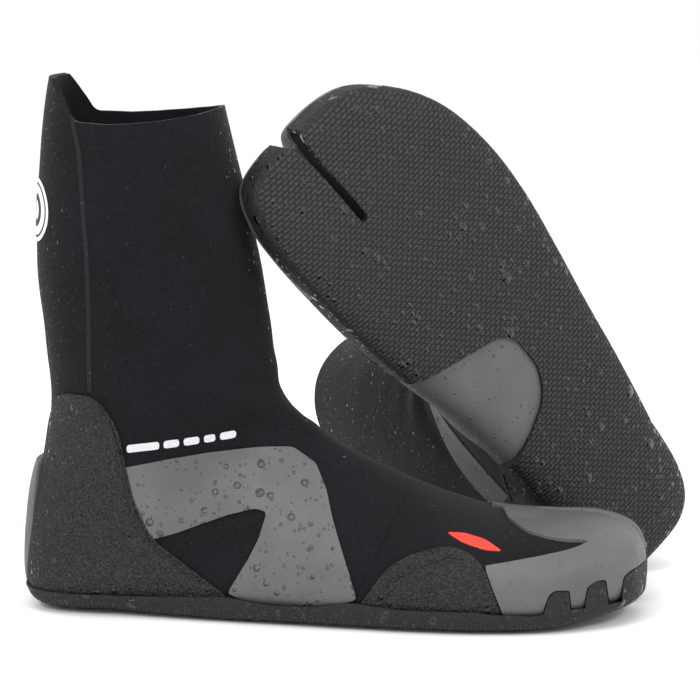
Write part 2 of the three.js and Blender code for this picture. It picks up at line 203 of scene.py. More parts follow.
def splitter(width, flare=0.0):
    """The bar that parts the big toe from the others, its mouth opening out by flare each side."""
    x0, h = SPLIT_END, width / 2
    ring = [(x0 + h * math.cos(a), SPLIT_Y + h * math.sin(a))
            for a in np.linspace(math.pi / 2, 3 * math.pi / 2, 9)]
    mouth = [(340, 1.6), (292, 1.3), (289, 0.8), (285, 0.35), (280, 0.1), (274, 0)] if flare else [(340, 0)]
    points = [(x, SPLIT_Y + h + flare * k) for x, k in mouth] + ring
    points += [(x, SPLIT_Y - h - flare * k) for x, k in mouth[::-1]]
    return prism(points[::-1], -30, 80, "plan")


# ---- the last: the sock's outer skin ----
def tube(s0, s1, ns, na, caps, square=1.0):
    bm = grid(lambda u, v: sock_point(s0 + (s1 - s0) * u, v * 2 * math.pi, square), ns, na)
    if caps:
        bmesh.ops.holes_fill(bm, edges=bm.edges, sides=0)
        bmesh.ops.recalc_face_normals(bm, faces=bm.faces)
    else:
        face_out(bm, core)
    return bm


def toe_last(split, voxel=1.0):
    """The front of the sock from x 150, with rounded tips and, if split, two toe pockets."""
    bm = tube(0.58, 1.0, 70, 110, True)
    o = to_object(bm, "toe_last")
    if split:
        cut(o, splitter(SPLIT_GAP - 0.6, 4.0))
    m = o.modifiers.new("even", "REMESH")
    m.mode, m.voxel_size, m.use_smooth_shade = "VOXEL", voxel, True
    settled(o)
    bm = bmesh.new()
    bm.from_mesh(o.data)

    def soft(co):
        tip = (co.x - 266) / 10
        wall = (12 - abs(co.y - SPLIT_Y)) / 6 if split and co.x > SPLIT_END - 8 else 0
        return max(min(max(tip, wall), 1.0), 0.0)

    weights = [(v, soft(v.co)) for v in bm.verts]
    moving = [v for v, w in weights if w > 0.02]
    for _ in range(6):
        bmesh.ops.smooth_vert(bm, verts=bm.verts, factor=0.5, use_axis_x=True, use_axis_y=True,
                              use_axis_z=True)
    for _ in range(12 if split else 9):
        bmesh.ops.smooth_vert(bm, verts=moving, factor=0.5, use_axis_x=True, use_axis_y=True,
                              use_axis_z=True)
    skin = BVHTree.FromBMesh(tube(0.5, 1.0, 160, 180, False))
    for v, w in weights:
        if v.is_valid and w <= 0.35:
            hit, normal, _, far = skin.find_nearest(v.co)
            if hit is not None and far < 2.5:
                v.co = v.co.lerp(hit, 1 - w / 0.35)
    bmesh.ops.bisect_plane(bm, geom=bm.verts[:] + bm.edges[:] + bm.faces[:], plane_co=(152, 0, 0),
                           plane_no=(1, 0, 0), clear_inner=True)
    bm.normal_update()
    bpy.data.objects.remove(o)
    return bm


def last_tree(*parts):
    """One search tree over several skins."""
    verts, faces = [], []
    for bm in parts:
        base = len(verts)
        bm.verts.index_update()
        verts += [v.co.copy() for v in bm.verts]
        faces += [[base + v.index for v in f.verts] for f in bm.faces]
    return BVHTree.FromPolygons(verts, faces)


toe_split = toe_last(True)
toe_plain = toe_last(False)
leg_skin = tube(0.0, 0.70, 150, 120, False)
SKIN = last_tree(leg_skin, toe_plain)


def onto(start, direction):
    """Where a line meets the last."""
    hit = SKIN.ray_cast(Vector(start), Vector(direction).normalized())[0]
    return hit if hit is not None else SKIN.find_nearest(Vector(start))[0]


def beside(x, z, side):
    """The last's point at (x, z) on the outer (-1) or inner (+1) side."""
    hit = SKIN.ray_cast(Vector((x, side * 120.0, z)), Vector((0, -side, 0)))[0]
    return hit if hit is not None else SKIN.find_nearest(Vector((x, side * 20.0, z)))[0]


print("lasts", len(toe_split.verts), len(toe_plain.verts), len(leg_skin.verts))


# ---- cutting outlines, side view (x, z) unless said ----
RIM = [(-60, 245.4), (18, 245.4), (19.4, 243), (22, 238.5), (25.5, 232.9), (28, 228.6), (31, 226.8), (46, 226),
       (57, 226.5), (72, 227.9), (85, 229.7), (93, 231.5), (140, 236)]
SEAM = [(28.6, 236), (29.3, 231), (33.3, 214), (35.1, 192), (36.7, 169), (37.2, 146), (36.6, 123), (36.7, 100)]
SOLE_TOP = [(-30, 10.2), (30, 10.3), (60, 10.6), (100, 12.4), (121, 9.6), (140, 10), (158, 13), (180, 11),
            (205, 11), (214, 11), (222, 9.9), (243, 9), (247, 11), (330, 12.5), (330, -30), (-30, -30)]
TEETH = [[(243.5, -5), (245.5, 12), (247.6, 18), (250, 20), (256, 19.8), (258.5, -5)],
         [(262.5, -5), (263.5, 15), (264.5, 20.5), (268, 23), (272, 22.8), (275.5, -5)]]
TIP_SOLE = [(278.8, -5), (279.6, 18), (280.4, 22.8), (284, 25), (300, 26), (300, -5)]
INNER_SOLE = [(222, -5), (225, 12), (231, 16.5), (245, 19), (262, 21), (280, 23), (300, 25), (300, -5)]
SOLE_RISES = [(t, -90, -3) for t in TEETH] + [(TIP_SOLE, -90, 90), (INNER_SOLE, 10, 90)]   # outline, from y, to y
CAP = [(226.8, 10), (225.8, 13.1), (219.3, 29.6), (217.8, 38), (217.8, 80), (330, 80), (330, 12), (247, 10.4),
       (243, 8.5), (228, 9.2)]
WEDGE = [(200, 10), (223, 6), (224.6, -4), (226.7, -14), (231.7, -22.8), (236.5, -28.2), (245.6, -31.9),
         (254.6, -32.8), (265, -31), (259.3, -36.6), (253.2, -40), (241.9, -45), (228.9, -49.3), (219.3, -51.9),
         (200, -56)]                                                                   # plan
LOBE = [(176, 80), (161, 40), (154, 16), (149, 0), (141, -6), (122, -6), (109, 2), (100, 20), (94, 38),
        (84, 80)]                                                                      # plan
INSERT = [(52.4, 69.4), (73, 73.8), (91, 76.6), (108, 78), (128, 77.6), (139, 70.5), (145, 59.8), (148.6, 48.8),
          (152.7, 38.4), (157.7, 25.4), (161, 14.2), (153, 12.2), (138, 10), (124, 9.4), (110, 10.8), (101, 14),
          (106, 22.2), (111, 30.5), (115.4, 39.4), (118.5, 50.5), (113, 52), (100, 48.7), (87, 44), (77, 40.2),
          (65, 36.8), (58.4, 48), (55.2, 55.2), (52.2, 67.6)]
COUNTER = [(5.5, 9.6), (6.5, 22), (9, 40), (11.5, 62), (12.8, 75), (14.5, 88), (20.5, 101.8), (39.5, 101.8), (48, 91),
           (51, 84), (54, 68), (57, 55), (60, 48), (66, 37), (88, 21.5), (100, 13.2), (100, 11), (60, 9.6), (30, 9.4)]
COUNTER_LINE = [(40, 99), (46, 91), (48.6, 83), (52, 68), (55, 55), (58.4, 46.6), (64.6, 35.4), (86, 20.6)]
RAND = [(162.5, 12.4), (174, 28.5), (184, 34.8), (200, 38.5), (211, 36), (218.6, 30), (225.2, 12.8), (226, 10),
        (214, 10), (205, 10), (180, 10), (163, 11)]
RAND_LINE = [(172, 20), (180, 25.7), (190, 30.4), (200.6, 34.2), (209, 33.6)]


def rim_height(x):
    xs, zs = zip(*RIM)
    return float(np.interp(x, xs, zs))


def rim_start(angle):
    """How far down the sock its rim lies, at an angle round the leg."""
    lo, hi = 0.0, 0.12
    for _ in range(22):
        mid = (lo + hi) / 2
        p = sock_point(mid, angle)
        lo, hi = (mid, hi) if p.z > rim_height(p.x) else (lo, mid)
    return lo


def seam_x(z):
    xs, zs = zip(*SEAM[::-1])
    return float(np.interp(z, zs, xs))


def ribbon(points, width):
    """A narrow outline along an open line."""
    p = [Vector(q) for q in points]
    across = []
    for i in range(len(p)):
        run = (p[min(i + 1, len(p) - 1)] - p[max(i - 1, 0)]).normalized()
        across.append(Vector((-run.y, run.x)) * width / 2)
    return [tuple(a + b) for a, b in zip(p, across)] + [tuple(a - b) for a, b in zip(p, across)][::-1]


# ---- the pieces of one boot ----
made = []


def piece(name, o, look, slot, how, nodes=()):
    """Keeps a finished mesh with its look and the name of a body, or of a bend between two; pieces named for a bend
    are set in place without a body or any bending.
    """
    o.name = name
    made.append((name, o, look, slot, how, nodes))
    return o


def walled(bm, name, thickness, offset=-1.0, inside=0, rim=0, bevel=0.0, even=True):
    """Thickens a sheet and rounds its edges."""
    o = to_object(bm, name)
    m = o.modifiers.new("wall", "SOLIDIFY")
    m.thickness, m.offset, m.use_even_offset = thickness, offset, even
    m.material_offset, m.material_offset_rim = inside, rim
    if bevel:
        b = o.modifiers.new("edge", "BEVEL")
        b.width, b.segments, b.limit_method, b.angle_limit = bevel, 3, "ANGLE", math.radians(50)
    return settled(o)


def rounded_cut(o):
    """Marks the sharp edges of a cut piece and smooths the rest."""
    for p in o.data.polygons:
        p.use_smooth = True
    o.data.set_sharp_from_angle(angle=math.radians(38))
    return o


# the sock down to the middle of the foot
def upper_at(u, v):
    angle = (v - 0.5) * 2 * math.pi
    if v in (0.0, 1.0):
        angle = math.pi
    start = rims[round(v * AROUND) % AROUND]
    s = start + (0.705 - start) * u
    p = sock_point(s, angle)
    tuck = min(max((s - 0.692) / 0.01, 0), 1)
    return p.lerp(core(p), 0.012 * tuck)


AROUND, ALONG = 144, 150
rims = [rim_start((k / AROUND - 0.5) * 2 * math.pi) for k in range(AROUND)]
bm = face_out(grid(upper_at, ALONG, AROUND), core)


def creased(co):
    """Soft hollows where the sock folds at the instep, and the slack of an empty leg."""
    fold = math.exp(-((co.x - 118) / 26) ** 2 - ((co.z - 98) / 24) ** 2)
    slack = noise.noise(co * 0.016) * 1.3 + noise.noise(co * 0.045 + Vector((9, 0, 0))) * 0.45
    fade = min(max((co.z - 100) / 60, 0), 1) * min(max((240 - co.z) / 40, 0), 1)
    wave = math.sin((co.z - 92 + 0.35 * co.x) * 0.33) * 0.55
    return slack * fade + fold * wave * min(max((co.x - 80) / 30, 0), 1)


swell(bm, creased)
piece("neoprene_leg", walled(bm, "leg", WALL, inside=1, rim=2, even=False), ("neoprene", "lining", "foam"),
      "neoprene", "ankle", ("rear_leg_panel", "front_leg_panel", "ankle_panel", "heel_cup_panel", "instep_panel"))

# the forefoot with its two toe pockets
SEAM_CO, SEAM_NO = Vector((168.5, 0, 31.6)), Vector((0.903, 0, -0.43))   # where it meets the leg piece
bm = toe_split.copy()
bmesh.ops.bisect_plane(bm, geom=bm.verts[:] + bm.edges[:] + bm.faces[:], plane_co=SEAM_CO, plane_no=SEAM_NO,
                       clear_inner=True)
piece("neoprene_forefoot", walled(bm, "forefoot", WALL, inside=1, rim=1), ("neoprene", "lining"), "neoprene",
      "toe", ("vamp_panel", "four_toe_pocket", "big_toe_pocket"))


# ---- overlays ----
def resample(points, count, r=0.0):
    """Evenly spaced points on an outline with its corners rounded by r."""
    p = [Vector(q) for q in points]
    out = []
    for i, v in enumerate(p):
        before, after = p[i - 1], p[(i + 1) % len(p)]
        c = min(r, (v - before).length / 2.2, (v - after).length / 2.2)
        if c < 0.05:
            out.append(v)
            continue
        f, t = v + (before - v).normalized() * c, v + (after - v).normalized() * c
        out += [f * (1 - k) ** 2 + v * 2 * k * (1 - k) + t * k * k for k in np.linspace(0, 1, 7)]
    out.append(out[0])
    d = np.concatenate([[0], np.cumsum([(b - a).length for a, b in zip(out, out[1:])])])
    at = np.linspace(0, d[-1], count, endpoint=False)
    return [Vector((np.interp(t, d, [q.x for q in out]), np.interp(t, d, [q.y for q in out]))) for t in at]


def flat_patch(outline, size, r):
    """A flat mesh of an outline in the x-z plane, cut into even small faces."""
    length = sum((Vector(a) - Vector(b)).length for a, b in zip(outline, outline[1:] + outline[:1]))
    ring = resample(outline, max(int(length / size), 12), r)
    bm = bmesh.new()
    bm.faces.new([bm.verts.new((q.x, 0, q.y)) for q in ring])
    xs, zs = [q.x for q in ring], [q.y for q in ring]
    for axis, lo, hi in ((0, min(xs), max(xs)), (2, min(zs), max(zs))):
        n = int((hi - lo) / size)
        for k in range(1, n):
            co, no = Vector((0, 0, 0)), Vector((0, 0, 0))
            co[axis], no[axis] = lo + (hi - lo) * k / n + 0.003, 1
            bmesh.ops.bisect_plane(bm, geom=bm.verts[:] + bm.edges[:] + bm.faces[:], plane_co=co, plane_no=no,
                                   dist=1e-4)
    bmesh.ops.remove_doubles(bm, verts=bm.verts, dist=0.12)
    return bm


def side_patch(outline, side, base, r, size):
    """The outline laid on one side of the sock."""
    bm = flat_patch(outline, size, r)
    for v in bm.verts:
        v.co = beside(v.co.x, v.co.z, side)
    face_out(bm, core)
    return swell(bm, lambda co: creased(co) + base)


def overlay(name, outline, side, look, slot, how, nodes, thick=PANEL, r=4.0, size=2.0, bevel=0.45, base=SINK,
            cutter=None):
    bm = side_patch(outline, side, base, r, size)
    o = walled(bm, name, thick - base, 1.0, bevel=bevel)
    if cutter:
        cut(o, cutter)
    return piece(name, rounded_cut(o), (look,), slot, how, nodes)


for side, word in ((-1, "outer"), (1, "inner")):
    overlay(word + "_heel_counter", COUNTER, side, "counter", "counter_rubber", "ankle", (word + "_heel_counter",),
            r=7, thick=1.2, cutter=None if side < 0 else prism(LOBE, -30, 30, "plan", 6))
    overlay(word + "_counter_line", ribbon(COUNTER_LINE, 0.9), side, "counter", "counter_rubber", "ankle", (),
            thick=PANEL + 0.4, base=PANEL - 0.3, r=0.3, size=1.3, bevel=0.2)
    overlay(word + "_arch_panel", INSERT, side, "beaded", "grey_panel", "foot", (word + "_arch_panel",),
            size=1.7, r=2, thick=0.9)
    overlay(word + "_forefoot_rand", RAND, side, "counter", "counter_rubber", "toe",
            (word + "_forefoot_rand",), r=6)
    overlay(word + "_rand_line", ribbon(RAND_LINE, 0.9), side, "counter", "counter_rubber", "toe", (),
            thick=PANEL + 0.4, base=PANEL - 0.3, r=0.3, size=1.3, bevel=0.2)


# ---- heel panel, wrapped round the back ----
def heel_at(u, v):
    z = 9.8 + 57.2 * u
    edge = float(np.interp(z, [9, 10.6, 22, 40, 62, 67], [4.5, 4.6, 5.8, 8.3, 10.8, 11.4]))
    lo, hi = 0.0, math.pi / 2
    for _ in range(18):
        mid = (lo + hi) / 2
        p = onto((48, 0, z), (-math.cos(mid), -math.sin(mid), 0))
        lo, hi = (mid, hi) if p.x < edge else (lo, mid)
    return onto((48, 0, z), (-math.cos(lo * (2 * v - 1)), -math.sin(lo * (2 * v - 1)), 0))


bm = swell(face_out(grid(heel_at, 40, 26), core), lambda co: -1.6 + 1.35 * min(max((co.z - 40) / 22, 0), 1))
piece("heel_panel", rounded_cut(walled(bm, "heel", 2.9, 1.0, bevel=0.9)), ("cap",), "grey_panel", "foot",
      ("heel_panel",))

# ---- toe caps ----
toes_out, toes_in = toe_split.copy(), toe_split.copy()
for bm, d in ((toes_out, PANEL), (toes_in, -0.3)):
    swell(bm, d)
    bmesh.ops.holes_fill(bm, edges=bm.edges, sides=0)
    bmesh.ops.recalc_face_normals(bm, faces=bm.faces)
shell_out, shell_in = to_object(toes_out, "toes_out"), to_object(toes_in, "toes_in")
cap = cut(shell_out, shell_in)
cut(cap, prism(CAP, -90, 90), "INTERSECT")
for outline, y0, y1 in SOLE_RISES:
    cx = 256 if outline is INNER_SOLE else sum(q[0] for q in outline) / len(outline)
    wider = [(x + math.copysign(TOOTH_FIT, x - cx), z + (TOOTH_FIT if z > 0 else 0)) for x, z in outline]
    cut(cap, prism(wider, y0, y1, r=1.5))
cut(cap, prism(WEDGE, 24, 80, "plan", 3))
bm = bmesh.new()
bm.from_mesh(cap.data)
bpy.data.objects.remove(cap)
for word, low in (("big", True), ("four", False)):
    half = bm.copy()
    far = [v for v in half.verts if (v.co.y > SPLIT_Y) != low]
    bmesh.ops.delete(half, geom=far, context="VERTS")
    piece(word + "_toe_cap", rounded_cut(to_object(half, word)), ("cap",), "grey_panel", "toes",
          (word + "_toe_cap",))

# ---- outsole ----
def foot_last(square=1.0):
    """The whole foot of the sock, closed, its bottom corners squarer if asked."""
    o = to_object(tube(0.33, 1.0, 130, 120, True, square), "foot_last")
    m = o.modifiers.new("even", "REMESH")
    m.mode, m.voxel_size = "VOXEL", 1.1
    settled(o)
    b = bmesh.new()
    b.from_mesh(o.data)
    bpy.data.objects.remove(o)
    tips = [v for v in b.verts if v.co.x > 268]
    for _ in range(5):
        bmesh.ops.smooth_vert(b, verts=b.verts, factor=0.5, use_axis_x=True, use_axis_y=True, use_axis_z=True)
    for _ in range(8):
        bmesh.ops.smooth_vert(b, verts=tips, factor=0.5, use_axis_x=True, use_axis_y=True, use_axis_z=True)
    skin = BVHTree.FromBMesh(tube(0.3, 1.0, 180, 160, False, square))
    for v in b.verts:
        if v.co.x < 268:
            hit, _, _, far = skin.find_nearest(v.co)
            if hit is not None and far < 2.5:
                v.co = hit
    b.normal_update()
    return b


foot = foot_last()
sole_out, sole_in = foot_last(1.9), foot.copy()
sole_out.normal_update()
moves = [(v, v.normal * (1.5 + 1.9 * max(0.0, -v.normal.z))) for v in sole_out.verts]
for v, m in moves:
    v.co += m
    v.co.z = max(v.co.z, 0.0)
swell(sole_in, -0.2)
sole = cut(to_object(sole_out, "sole_out"), to_object(sole_in, "sole_in"))
sides = prism(SOLE_TOP, -90, 90, r=3)
for outline, y0, y1 in SOLE_RISES:
    cut(sides, prism(outline, y0, y1, r=1.5), "UNION")
cut(sole, sides, "INTERSECT")
cut(sole, splitter(4.2, 4.0))
cut(sole, prism(LOBE, -30, 30, "plan", 6))
piece("outsole", rounded_cut(sole), ("sole",), "sole_rubber", "toe", ("outsole",))

# ---- the arch panel's lobe under the sole ----
lobe = cut(cut(to_object(swell(foot.copy(), 1.5), "lobe_out"), to_object(swell(foot.copy(), -0.3), "lobe_in")),
           prism(LOBE, -30, 16, "plan", 6), "INTERSECT")
piece("inner_arch_lobe", rounded_cut(lobe), ("grey",), "grey_panel", "foot", ())

# ---- footbed ----
def bed_at(u, v):
    x = 12 + 248 * u
    y0, y1 = beside(x, 14, -1).y + 5, beside(x, 14, 1).y - 5
    return Vector((x, y0 + (y1 - y0) * v, 9.4 + 0.012 * max(x - 200, 0) ** 1.2 - 1.2 * math.sin(math.pi * v)))


bm = face_out(grid(bed_at, 80, 30), lambda co: co - Vector((0, 0, 5)))
bed = walled(bm, "bed", 2.4, -1.0, bevel=0.5)
cut(bed, splitter(15))
piece("footbed", rounded_cut(bed), ("knit",), "footbed_knit", "toe", ("footbed",))

# ---- seam tapes, badge and prints ----
def seam_at(side, width):
    def at(u, v):
        z = 103.5 + (rim_height(seam_x(230) + width * (v - 0.5)) - 104.1) * u
        return beside(seam_x(z) + width * (v - 0.5), z, side)
    return at


for side, word in ((-1, "outer"), (1, "inner")):
    bm = swell(face_out(grid(seam_at(side, 2.2), 110, 3), core), lambda co: creased(co) - 0.2)
    piece(word + "_leg_seam", rounded_cut(walled(bm, "seam", 0.6, 1.0, bevel=0.2)), ("tape",), "seam_tape", "ankle",
          (word + "_leg_seam",))


BADGE_HEIGHT, BADGE_ROUND, LEG_RADIUS = 184.5, 10, 38     # middle, and how far round from the back


def badge_ring(inner_r, outer_r, n=48, rings=3):
    """A flat ring, or a disc when inner_r is 0, laid on the back of the leg."""
    bm = bmesh.new()
    if inner_r:
        start = [bm.verts.new((math.cos(2 * math.pi * k / n) * inner_r, math.sin(2 * math.pi * k / n) * inner_r, 0))
                 for k in range(n)]
        edges = [bm.edges.new((start[k], start[(k + 1) % n])) for k in range(n)]
        for step in range(rings):
            r = inner_r + (outer_r - inner_r) * (step + 1) / rings
            ext = bmesh.ops.extrude_edge_only(bm, edges=edges)
            edges = [g for g in ext["geom"] if isinstance(g, bmesh.types.BMEdge)]
            for v in [g for g in ext["geom"] if isinstance(g, bmesh.types.BMVert)]:
                v.co = v.co.normalized() * r
    else:
        bmesh.ops.create_circle(bm, cap_ends=False, segments=n, radius=outer_r)
        edges = bm.edges[:]
        for step in range(5):
            ext = bmesh.ops.extrude_edge_only(bm, edges=edges)
            edges = [g for g in ext["geom"] if isinstance(g, bmesh.types.BMEdge)]
            for v in [g for g in ext["geom"] if isinstance(g, bmesh.types.BMVert)]:
                v.co = v.co.normalized() * outer_r * (5 - step - 1) / 5 if step < 4 else Vector()
        bmesh.ops.remove_doubles(bm, verts=bm.verts, dist=1e-4)
    for v in bm.verts:
        turn = (BADGE_ROUND + v.co.x) / LEG_RADIUS
        v.co = onto((48, 0, BADGE_HEIGHT + v.co.y), (-math.cos(turn), -math.sin(turn), 0))
    return face_out(bm, core)


badge = walled(swell(badge_ring(0, 14.5), lambda co: creased(co) + 0.1), "badge", 0.25, 1.0, bevel=0.1)
piece("heel_badge", rounded_cut(badge), ("white",), "badge_print", "leg", ("heel_badge",))
for name, r0, r1 in (("badge_outer_ring", 11.6, 12.6), ("badge_inner_ring", 4.6, 7.6)):
    ring = walled(swell(badge_ring(r0, r1), lambda co: creased(co) + 0.34), "ring", 0.12, 1.0)
    piece(name, rounded_cut(ring), ("ink",), "neoprene", "leg")

PRINT_BARS = [[(x, 76.4 + (x - 54) * 0.135), (x, 80 + (x - 54) * 0.13), (x + w, 80 + (x + w - 54) * 0.13),
               (x + w, 76.4 + (x + w - 54) * 0.135)] for x, w in ((54, 15), (71, 7), (80, 7), (89, 5), (96, 7))]
for k, bar in enumerate(PRINT_BARS):
    overlay("side_print_" + str(k + 1), bar, -1, "print", "pale_print", "foot",
            ("side_print",) if k == 0 else (), thick=0.3, r=1.2, size=1.2, bevel=0.0, base=-0.1)
MARK = [(200, 43.6), (208, 43), (218, 40.4), (226.2, 36.2), (218, 36.8), (208, 39.6)]
overlay("toe_mark", MARK, -1, "red", "red_print", "toe", ("toe_mark",), thick=0.35, r=2, size=1.2, bevel=0.0,
        base=-0.1)

# ---- finishes ----
def srgb(r, g, b):
    return tuple(((c / 255 + 0.055) / 1.055) ** 2.4 if c > 10 else c / 255 / 12.92 for c in (r, g, b)) + (1.0,)


class Finish:
    """A node material read in the boot's own millimetres."""

    def __init__(self, name, rough, **constants):
        self.mat = bpy.data.materials.new(name)
        self.mat.use_nodes = True
        self.tree = self.mat.node_tree
        self.shader = self.tree.nodes["Principled BSDF"]
        self.place = self.node("ShaderNodeAttribute", attribute_name="boot").outputs["Vector"]
        self.set("Roughness", rough)
        for key, value in constants.items():
            self.set(key.replace("_", " "), value)

    def node(self, kind, **settings):
        n = self.tree.nodes.new(kind)
        for key, value in settings.items():
            setattr(n, key, value)
        return n

    def set(self, socket, value):
        if hasattr(value, "links"):
            self.tree.links.new(value, self.shader.inputs[socket])
        else:
            self.shader.inputs[socket].default_value = value

    def put(self, n, index, value):
        if hasattr(value, "links"):
            self.tree.links.new(value, n.inputs[index])
        else:
            n.inputs[index].default_value = value

    def math(self, how, *values, clamp=False):
        n = self.node("ShaderNodeMath", operation=how, use_clamp=clamp)
        for i, v in enumerate(values):
            self.put(n, i, v)
        return n.outputs[0]

    def noise(self, scale, detail=2.0, rough=0.5, stretch=None, place=None):
        n = self.node("ShaderNodeTexNoise")
        where = place or self.place
        if stretch:
            m = self.node("ShaderNodeMapping")
            m.inputs["Scale"].default_value = stretch
            self.tree.links.new(where, m.inputs["Vector"])
            where = m.outputs[0]
        self.tree.links.new(where, n.inputs["Vector"])
        n.inputs["Scale"].default_value = scale
        n.inputs["Detail"].default_value = detail
        n.inputs["Roughness"].default_value = rough
        return n.outputs["Fac"]

    def cells(self, scale, feature="F1", random=1.0):
        n = self.node("ShaderNodeTexVoronoi", feature=feature)
        self.tree.links.new(self.place, n.inputs["Vector"])
        n.inputs["Scale"].default_value = scale
        n.inputs["Randomness"].default_value = random
        return n

    def step(self, value, low, high, to_low=0.0, to_high=1.0, smooth=True):
        n = self.node("ShaderNodeMapRange", interpolation_type="SMOOTHSTEP" if smooth else "LINEAR")
        for i, v in enumerate((value, low, high, to_low, to_high)):
            self.put(n, i, v)
        return n.outputs[0]

    def mix(self, fac, a, b):
        n = self.node("ShaderNodeMix", data_type="RGBA")
        self.put(n, 0, fac)
        self.put(n, 6, a)
        self.put(n, 7, b)
        return n.outputs[2]

    def beads(self, size, share, largest=0.42):
        """Water beads: their mask and their height in millimetres, on cells of a size."""
        v = self.cells(1.0 / size)
        pick = self.node("ShaderNodeSeparateColor")
        self.tree.links.new(v.outputs["Color"], pick.inputs[0])
        r = self.step(pick.outputs[0], 1 - share, 1.0, 0.0, largest, smooth=False)
        cap = self.math("SUBTRACT", self.math("MULTIPLY", r, r),
                        self.math("MULTIPLY", v.outputs["Distance"], v.outputs["Distance"]))
        cap = self.math("MAXIMUM", cap, 0.0)
        return self.step(cap, 0.0, 0.004), self.math("MULTIPLY", cap, 2.2 * size)

    def bump(self, height, strength=1.0):
        n = self.node("ShaderNodeBump")
        n.inputs["Strength"].default_value = strength
        n.inputs["Distance"].default_value = 0.001
        self.tree.links.new(height, n.inputs["Height"])
        self.set("Normal", n.outputs[0])

    def wet(self, base, grain, rough, beads):
        """Colour, grain height and roughness, with the water beads laid over them; the beads' colour is painted
        darker, most at their rims, as painted shade.
        """
        mask, height, rim = None, grain, None
        for size, share, largest in beads:
            m, h = self.beads(size, share, largest)
            edge = self.math("MULTIPLY", m, self.step(h, 0.0, 0.16 * size, 1.0, 0.0))
            if mask is not None:
                m, edge = self.math("MAXIMUM", mask, m), self.math("MAXIMUM", rim, edge)
            mask, rim = m, edge
            height = self.math("ADD", height, h)
        if mask is not None:
            rough = self.math("ADD", self.math("MULTIPLY", rough, self.math("SUBTRACT", 1.0, mask)), 0.05)
            # painted shade: each bead's rim, and faintly the whole bead, is mixed towards near black to stand in for
            # the shade of the water's refraction
            shade = self.math("MULTIPLY", self.math("ADD", rim, self.math("MULTIPLY", mask, 0.25)), 0.42)
            base = self.mix(shade, base, (0.004, 0.004, 0.004, 1))
        self.set("Base Color", base)
        self.set("Roughness", rough)
        self.bump(height)


def neoprene_finish():
    f = Finish("navy_black_neoprene", 0.8, Sheen_Weight=0.05, Sheen_Roughness=0.5, Specular_IOR_Level=0.12)
    shade = f.step(f.noise(0.03, 3), 0.3, 0.7)
    base = f.mix(shade, srgb(11, 10, 14), srgb(15, 14, 19))
    knit = f.math("MULTIPLY", f.noise(2.2, 3, 0.6), 0.10)
    soft = f.math("MULTIPLY", f.noise(0.35, 2), 0.22)
    rough = f.step(f.noise(0.8, 2), 0.3, 0.7, 0.62, 0.85)
    f.wet(base, f.math("ADD", knit, soft), rough, ((2.8, 0.10, 0.4), (1.3, 0.16, 0.4)))
    return f.mat


def rubber_finish(name, low, high, beads, grain=0.45):
    f = Finish(name, 0.6, Specular_IOR_Level=0.3)
    v = f.cells(0.9, "SMOOTH_F1")
    pebble = f.math("MULTIPLY", f.step(v.outputs["Distance"], 0.1, 0.6, 1.0, 0.0), grain)
    streak = f.math("MULTIPLY", f.noise(0.55, 3, 0.65, (1, 1, 2.2)), grain * 2.0)
    shade = f.step(f.noise(1.0, 4, 0.8), 0.42, 0.62)
    base = f.mix(shade, low, high)
    rough = f.step(f.noise(1.1, 2), 0.3, 0.7, 0.42, 0.7)
    f.wet(base, f.math("ADD", pebble, streak), rough, beads)
    return f.mat


def sole_finish():
    f = Finish("tread_rubber", 0.6, Specular_IOR_Level=0.35)
    xyz = f.node("ShaderNodeSeparateXYZ")
    f.tree.links.new(f.place, xyz.inputs[0])
    x, y = xyz.outputs[:2]
    row = f.math("MULTIPLY", x, 1 / 2.0)
    odd = f.math("MULTIPLY", f.math("FLOOR", row), 0.5)
    along_row = f.math("ADD", f.math("MULTIPLY", y, 1 / 3.6), odd)
    fx = f.math("ABSOLUTE", f.math("SUBTRACT", f.math("FRACT", row), 0.5))
    fy = f.math("ABSOLUTE", f.math("SUBTRACT", f.math("FRACT", along_row), 0.5))
    dash = f.math("MULTIPLY", f.step(fx, 0.16, 0.34, 1.0, 0.0), f.step(fy, 0.34, 0.46, 1.0, 0.0))
    under = f.step(f.node("ShaderNodeAttribute", attribute_name="under").outputs["Fac"], 0.4, 0.8)
    dash = f.math("MULTIPLY", dash, under)
    v = f.cells(0.9, "SMOOTH_F1")
    pebble = f.math("MULTIPLY", f.step(v.outputs["Distance"], 0.1, 0.6, 0.25, 0.0),
                    f.math("SUBTRACT", 1.0, under))
    shade = f.step(f.noise(0.5, 4, 0.7), 0.32, 0.7)
    wall = f.mix(shade, srgb(13, 13, 12), srgb(24, 24, 23))
    # painted highlight and shade on the tread: the raised dashes are painted light and the gaps between them darker
    # than the wall
    tread_painted_light = f.mix(dash, srgb(6, 7, 5), srgb(46, 48, 41))
    base = f.mix(under, wall, tread_painted_light)
    rough = f.step(f.noise(1.1, 2), 0.3, 0.7, 0.5, 0.75)
    grain = f.math("ADD", pebble, f.math("MULTIPLY", f.noise(1.5, 3), 0.15))
    f.wet(base, f.math("ADD", f.math("MULTIPLY", dash, 0.4), grain), rough,
          ((7.0, 0.4, 0.42), (3.6, 0.5, 0.44), (1.7, 0.4, 0.44)))
    return f.mat


def grey_finish(name, beads):
    f = Finish(name, 0.5, Specular_IOR_Level=0.4)
    shade = f.step(f.noise(0.03, 3), 0.3, 0.7)
    base = f.mix(shade, srgb(74, 77, 76), srgb(84, 87, 86))
    grain = f.math("MULTIPLY", f.noise(1.6, 3, 0.6), 0.16)
    rough = f.step(f.noise(0.7, 2), 0.3, 0.7, 0.38, 0.55)
    f.wet(base, grain, rough, beads)
    return f.mat


def cloth_finish(name, low, high, scale, grain, rough=0.85, beads=()):
    f = Finish(name, rough, Sheen_Weight=0.05, Specular_IOR_Level=0.25)
    base = f.mix(f.step(f.noise(scale, 3), 0.3, 0.7), low, high)
    f.wet(base, f.math("MULTIPLY", f.noise(scale * 2, 3, 0.6), grain),
          f.step(f.noise(scale, 2), 0.3, 0.7, rough - 0.1, rough), beads)
    return f.mat


